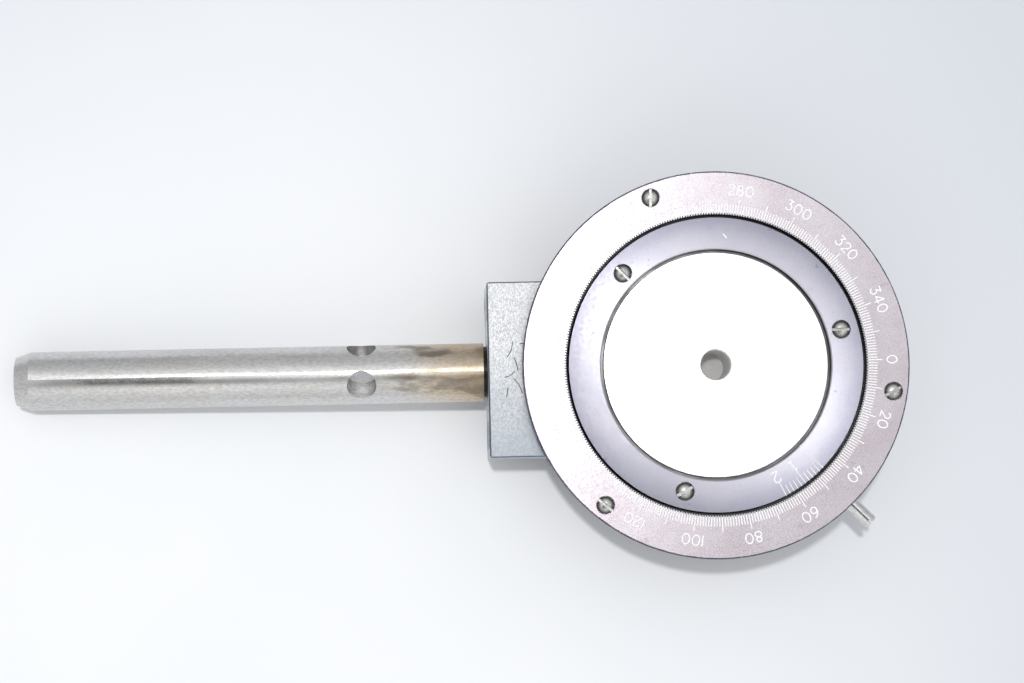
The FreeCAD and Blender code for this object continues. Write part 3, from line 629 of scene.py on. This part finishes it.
def disc_finish():
    look = Look("lapped_disc")
    smudge = look.noise(0.011, detail=5.0, shift=2.0)
    fine = look.noise(0.0015, detail=3.0, shift=8.0)
    colour = look.blend(look.step(smudge, 0.52, 0.72, 0.0, 0.7), (0.86, 0.865, 0.865),
                        (0.68, 0.72, 0.75))
    in_bore = look.math("MULTIPLY", look.step_at(look.radius(), DISC_BORE_R, 0.43, 0.33),
                        look.step_at(look.axes[2], 0.0, -0.2, -0.4))
    look.colour(look.blend(in_bore, colour, (0.78, 0.77, 0.76)))
    metal = look.math("SUBTRACT", 1.0, look.math("MULTIPLY", in_bore, 0.8))
    look.tree.links.new(metal, look.shader.inputs["Metallic"])
    smooth = look.math("ADD", look.step(smudge, 0.3, 0.7, 0.18, 0.26),
                       look.step(fine, 0.3, 0.7, 0.0, 0.04))
    look.rough(look.math("MAXIMUM", smooth, look.math("MULTIPLY", in_bore, 0.5)))
    look.bump(look.noise(0.0004, detail=2.0), 0.0000008)
    return look.material


def screw_finish():
    look = Look("screw_steel")
    mottle = look.noise(0.0004, detail=3.0)
    # Painted light: faces that point up get a light crown colour, a painted highlight, and faces
    # that slope away go near black, a painted shade.
    facing = look.add("ShaderNodeSeparateXYZ", {0: look.normal}).outputs[2]
    lit_crown = look.blend(look.step(mottle, 0.30, 0.75), (0.72, 0.72, 0.69), (0.42, 0.42, 0.40))
    colour = look.blend(look.step(facing, 0.89, 0.985), (0.070, 0.073, 0.070), lit_crown)
    # Painted shade: the slot and counterbore go darker where ambient occlusion finds them enclosed.
    recess_occlusion = look.add("ShaderNodeAmbientOcclusion", {"Distance": 0.0012}).outputs["AO"]
    look.colour(look.blend(look.step(recess_occlusion, 0.30, 0.75), (0.30, 0.30, 0.29), colour))
    look.rough(look.step(mottle, 0.3, 0.7, 0.22, 0.32))
    look.bump(mottle, 0.000003)
    return look.material


def shank_finish():
    look = Look("ground_shank")
    along = look.axes[0]
    rings = look.noise(0.0009, stretch=(1.0, 0.02, 0.02), detail=5.0)
    speck = look.noise(0.0005, stretch=(0.45, 1.0, 1.0), detail=3.0, shift=4.0)
    patch = look.noise(0.0060, stretch=(0.35, 1.0, 1.0), detail=5.0, shift=6.0)
    steel = look.blend(look.step(speck, 0.35, 0.70), (0.66, 0.655, 0.65), (0.53, 0.525, 0.52))
    heat = look.math("ADD", look.step_at(along, BLOCK_FACE_X, -31.2, 0.8),
                     look.math("MULTIPLY", look.math("SUBTRACT", patch, 0.5), 1.1))
    tint = look.ramp(heat, [(0.0, (1.0, 1.0, 1.0)), (0.30, (1.0, 0.96, 0.90)),
                            (0.60, (0.97, 0.86, 0.71)), (0.90, (0.86, 0.71, 0.54)),
                            (1.0, (0.56, 0.44, 0.32))])
    tinted = look.add("ShaderNodeMix", data_type="RGBA", blend_type="MULTIPLY")
    tinted.inputs[0].default_value = 1.0
    look.tree.links.new(steel, tinted.inputs[6])
    look.tree.links.new(tint, tinted.inputs[7])
    streaks = look.math("MULTIPLY", look.step(patch, 0.56, 0.66),
                        look.step_at(along, BLOCK_FACE_X, -35.2, -17.2, 0.0, 0.80))
    colour = look.blend(streaks, tinted.outputs[2], (0.22, 0.19, 0.16))
    rust = look.step(look.noise(0.0040, detail=3.0, shift=13.0), 0.76, 0.80, 0.0, 0.6)
    colour = look.blend(rust, colour, (0.34, 0.17, 0.09))
    # Painted shade: the shank goes near black in its last millimetre before the block's face.
    neck_shade = look.step_at(along, BLOCK_FACE_X, -1.05, -0.85)
    look.colour(look.blend(neck_shade, colour, (0.035, 0.030, 0.028)))
    satin = look.step(look.noise(0.016, stretch=(0.4, 1.0, 1.0), shift=8.0), 0.40, 0.60, 0.22, 0.38)
    look.rough(look.math("ADD", satin, look.step(speck, 0.3, 0.7, 0.0, 0.06)))
    look.bump(look.math("ADD", rings, speck), 0.000005)
    return look.material


def block_finish():
    look = Look("ground_block")
    x, y, z = look.axes
    grain = look.noise(0.0003, stretch=(1.0, 0.55, 1.0), detail=4.0)
    broad = look.noise(0.012, detail=4.0, shift=3.0)
    colour = look.blend(look.step(grain, 0.38, 0.64), (0.74, 0.75, 0.76), (0.57, 0.58, 0.60))
    # Painted shade: the block turns darker and bluer towards -Y.
    bluish_shade = look.step(look.math("ADD", y, look.math("MULTIPLY", broad, 0.02)),
                     0.018, -0.016, 0.0, 0.85)
    colour = look.blend(bluish_shade, colour, (0.41, 0.45, 0.50))
    scratches = 0.0
    for middle_x, middle_y, heading, bend_r, length in BLOCK_SCRATCHES:
        middle = Vector((middle_x, middle_y, BLOCK_TOP_Z)) * MM
        scratch = look.scratch(middle, heading, bend_r * MM, length * MM, SCRATCH_WIDTH * MM)
        scratches = look.math("MAXIMUM", scratches, scratch)
    colour = look.blend(scratches, colour, (0.10, 0.11, 0.12))
    # Painted reflection: a dark blue line along the top edges of the block's sides and face.
    side_edge = look.step_at(look.math("ABSOLUTE", y), BLOCK_HALF_WIDTH, -0.34, -0.20)
    face_edge = look.step_at(x, BLOCK_FACE_X, 0.36, 0.24)
    near_top = look.step_at(z, BLOCK_TOP_Z, -0.55, -0.40)
    dark_edge_reflection = look.math("MULTIPLY", look.math("MAXIMUM", side_edge, face_edge), near_top)
    look.colour(look.blend(dark_edge_reflection, colour, (0.12, 0.16, 0.22)))
    look.rough(look.step(grain, 0.3, 0.7, 0.44, 0.56))
    look.bump(grain, 0.000006)
    return look.material


def oiled_finish(name, light, dark, low_r, high_r):
    """A turned metal, dark between two radii that are given in millimetres: old oil, and painted
    shade where the gap between the graduated rings looks down onto it.
    """
    look = Look(name)
    radius = look.radius()
    fine = look.noise(0.0004, stretch=TURNED, detail=3.0)
    colour = look.blend(look.step(fine, 0.30, 0.72), light, dark)
    oil_and_gap_shade = look.math("MULTIPLY", look.step_at(radius, low_r, 0.0, 0.3),
                      look.step_at(radius, high_r, 0.0, 0.3, 1.0, 0.0))
    look.colour(look.blend(oil_and_gap_shade, colour, (0.035, 0.040, 0.036)))
    look.rough(look.step(fine, 0.3, 0.7, 0.26, 0.40))
    look.bump(fine, 0.000005)
    return look.material


def plain_finish(name, light, dark, smooth, rough, grain=0.0010):
    """A metal with mottled colour, roughness and fine relief."""
    look = Look(name)
    fine = look.noise(grain, detail=4.0)
    broad = look.noise(0.009, detail=3.0, shift=5.0)
    colour = look.blend(look.step(fine, 0.35, 0.68), light, dark)
    look.colour(look.blend(look.step(broad, 0.45, 0.75, 0.0, 0.5), colour, dark))
    look.rough(look.step(fine, 0.3, 0.7, smooth, rough))
    look.bump(fine, 0.000005)
    return look.material


dial_metal = dial_finish()
vernier_metal = vernier_finish()
paint = paint_finish()
# Both carry old oil and painted shade in the band that shows through the gap between the graduated
# rings.
housing_metal = oiled_finish("blued_housing", (0.165, 0.155, 0.185), (0.125, 0.115, 0.145),
                             38.5, 41.0)
spindle_metal = oiled_finish("turned_spindle", (0.20, 0.20, 0.21), (0.13, 0.13, 0.14),
                             35.0, 40.0)
bearing_metal = plain_finish("bearing_steel", (0.74, 0.74, 0.74), (0.62, 0.62, 0.63), 0.12, 0.20)
spring_metal = plain_finish("spring_steel", (0.30, 0.27, 0.22), (0.17, 0.16, 0.16), 0.28, 0.40)
nut_metal = plain_finish("nut_steel", (0.34, 0.33, 0.34), (0.20, 0.19, 0.21), 0.28, 0.42)
black_metal = plain_finish("black_oxide", (0.060, 0.060, 0.064), (0.025, 0.025, 0.028), 0.32, 0.48,
                           grain=0.0006)
bronze_metal = plain_finish("bronze", (0.66, 0.42, 0.20), (0.46, 0.28, 0.13), 0.26, 0.38)
pin_metal = plain_finish("bright_pin", (0.72, 0.72, 0.71), (0.60, 0.60, 0.60), 0.14, 0.24)
FINISHES = {
    "disc_steel": disc_finish(), "dial_steel": dial_metal, "vernier_steel": vernier_metal,
    "screw_steel": screw_finish(), "shank_steel": shank_finish(), "block_steel": block_finish(),
    "housing_steel": housing_metal, "spindle_steel": spindle_metal,
    "bearing_steel": bearing_metal, "spring_steel": spring_metal, "nut_steel": nut_metal,
    "black_screw": black_metal, "bronze": bronze_metal, "pin_steel": pin_metal,
}

# ---------------------------------------------------------------- finishes on the CAD nodes
for row in frame["record"]["subparts"]:
    node = frame["nodes"][row["node"]]
    node.data.materials.clear()
    node.data.materials.append(FINISHES[row["material_slot"]])

# ---------------------------------------------------------------- the two graduated rings
dial_lines = []
dial_strokes = []
for degree in range(360):
    end_r = DIAL_LONG_LINE_END if degree % 10 == 0 else DIAL_LINE_END
    dial_lines.append(radial_line(DIAL_ZERO_ANGLE - degree, DIAL["bore"] - LINE_OVERRUN, end_r,
                                  DIAL_LINE_WIDTH))
    if degree % DIAL_NUMBER_STEP == 0:
        dial_strokes += number_strokes(str(degree), NUMBER_FOOT_R, NUMBER_HEIGHT,
                                       DIAL_ZERO_ANGLE - degree, FIGURES)
dial = engraved_ring("dial_ring_engraved", DIAL, dial_lines, dial_strokes, [dial_metal, paint])
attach(dial, "housing")
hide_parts("dial_ring")

vernier_lines = [radial_line(VERNIER_INDEX_ANGLE, VERNIER["bore"] - LINE_OVERRUN,
                             VERNIER["outer"] + LINE_OVERRUN, VERNIER_LINE_WIDTH)]
for division in range(1, VERNIER_COUNT + 1):
    start_r = VERNIER_LONG_START if division % 5 == 0 else VERNIER_LINE_START
    vernier_lines.append(radial_line(VERNIER_INDEX_ANGLE - VERNIER_STEP * division, start_r,
                                     VERNIER["outer"] + LINE_OVERRUN, VERNIER_LINE_WIDTH))
vernier_strokes = []
for figure, shape, division in (("1", SERIF_ONE, 5), ("2", FIGURES["2"], 10)):
    vernier_strokes += number_strokes(figure, VERNIER_NUMBER_FOOT_R, VERNIER_NUMBER_HEIGHT,
                                      VERNIER_INDEX_ANGLE - VERNIER_STEP * division,
                                      {figure: shape})
vernier = engraved_ring("vernier_ring_engraved", VERNIER, vernier_lines, vernier_strokes,
                        [vernier_metal, paint])
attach(vernier, "table")
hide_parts("vernier_ring")


# ---------------------------------------------------------------- floor, lights and camera
def floor_finish():
    look = Look("pale_floor", metallic=0.0)
    cloud = look.noise(0.08, detail=3.0)
    pale = look.blend(look.step(cloud, 0.3, 0.7), (0.81, 0.825, 0.85), (0.83, 0.84, 0.86))
    # Painted pool of light: the floor greys with distance from its brightest point.
    light_falloff = look.step(look.distance(FLOOR_LIGHT_POOL_CENTRE), *FLOOR_FADE)
    look.colour(look.blend(light_falloff, pale, (0.60, 0.625, 0.675)))
    look.rough(look.step(look.noise(0.004), 0.2, 0.8, 0.55, 0.70))
    look.shader.inputs["Specular IOR Level"].default_value = 0.2
    return look.material


def make_floor():
    mesh = bpy.data.meshes.new("floor")
    corners = []
    for side_x, side_y in ((-1, -1), (1, -1), (1, 1), (-1, 1)):
        x = FLOOR_TOUCH.x + side_x * FLOOR_HALF_WIDTH
        z = FLOOR_TOUCH.z + FLOOR_SLOPE * (x - FLOOR_TOUCH.x)
        corners.append((x, side_y * FLOOR_HALF_WIDTH, z))
    mesh.from_pydata(corners, [], [(0, 1, 2, 3)])
    mesh.materials.append(floor_finish())
    floor = bpy.data.objects.new("floor", mesh)
    bpy.context.scene.collection.objects.link(floor)


def lamp(name, towards, size, power, shines_on, length=None):
    """An elliptical lamp aimed at the origin that lights only the diffuse or glossy part."""
    light = bpy.data.lights.new(name, "AREA")
    light.shape = "ELLIPSE"
    light.size = size
    light.size_y = length or size
    light.energy = power
    holder = bpy.data.objects.new(name, light)
    holder.location = towards.normalized() * LIGHT_DISTANCE
    holder.rotation_euler = towards.to_track_quat("Z", "Y").to_euler()
    holder.visible_diffuse = shines_on == "diffuse"
    holder.visible_glossy = shines_on == "glossy"
    bpy.context.scene.collection.objects.link(holder)


def make_surroundings():
    """A pale room: bright overhead, greyer at the sides, with a dark patch and a bright -Y side."""
    world = bpy.data.worlds.new("studio")
    world.use_nodes = True
    bpy.context.scene.world = world
    tree = world.node_tree
    add, link = tree.nodes.new, tree.links.new
    direction = add("ShaderNodeTexCoord").outputs["Generated"]
    split = add("ShaderNodeSeparateXYZ")
    link(direction, split.inputs[0])
    ramp = add("ShaderNodeValToRGB")
    link(split.outputs[2], ramp.inputs[0])
    elements = ramp.color_ramp.elements
    elements.remove(elements[0])
    elements[0].position = 1.0
    for height, grey in SKY_GREYS:
        elements.new(height).color = (grey * 0.985, grey * 0.995, grey, 1.0)
    towards_dark = add("ShaderNodeVectorMath")
    towards_dark.operation = "DOT_PRODUCT"
    link(direction, towards_dark.inputs[0])
    towards_dark.inputs[1].default_value = DARK_TOWARDS.normalized()
    dark = add("ShaderNodeMapRange")
    dark.interpolation_type = "SMOOTHSTEP"
    link(towards_dark.outputs["Value"], dark.inputs[0])
    for socket, value in zip(dark.inputs[1:5], (*DARK_EDGE, 1.0, DARK_LEVEL)):
        socket.default_value = value
    near_side = add("ShaderNodeMapRange")
    near_side.interpolation_type = "SMOOTHSTEP"
    link(split.outputs[1], near_side.inputs[0])
    for socket, value in zip(near_side.inputs[1:5],
                             (*NEAR_SIDE, SKY_STRENGTH, SKY_STRENGTH * NEAR_SIDE_GAIN)):
        socket.default_value = value
    strength = add("ShaderNodeMath")
    strength.operation = "MULTIPLY"
    link(dark.outputs[0], strength.inputs[0])
    link(near_side.outputs[0], strength.inputs[1])
    background = tree.nodes["Background"]
    link(ramp.outputs[0], background.inputs["Color"])
    link(strength.outputs[0], background.inputs["Strength"])


def make_camera():
    data = bpy.data.cameras.new("camera")
    data.lens = CAMERA_LENS
    data.sensor_width = CAMERA_SENSOR
    data.clip_start = CAMERA_CLIP
    camera = bpy.data.objects.new("camera", data)
    forward = (CAMERA_AIM - CAMERA_PLACE).normalized()
    right = forward.cross(CAMERA_UP).normalized()
    turn = Matrix((right, right.cross(forward), -forward)).transposed()
    camera.matrix_world = Matrix.Translation(CAMERA_PLACE) @ turn.to_4x4()
    bpy.context.scene.collection.objects.link(camera)
    bpy.context.scene.camera = camera


make_floor()
make_surroundings()
lamp("flash", FLASH_TOWARDS, FLASH_SIZE, FLASH_POWER, "diffuse")
lamp("glare", GLARE_TOWARDS, GLARE_SIZE, GLARE_POWER, "glossy")
lamp("panel", PANEL_TOWARDS, PANEL_SIZE, PANEL_POWER, "glossy", PANEL_LENGTH)
make_camera()
bpy.context.scene.view_settings.view_transform = "Standard"
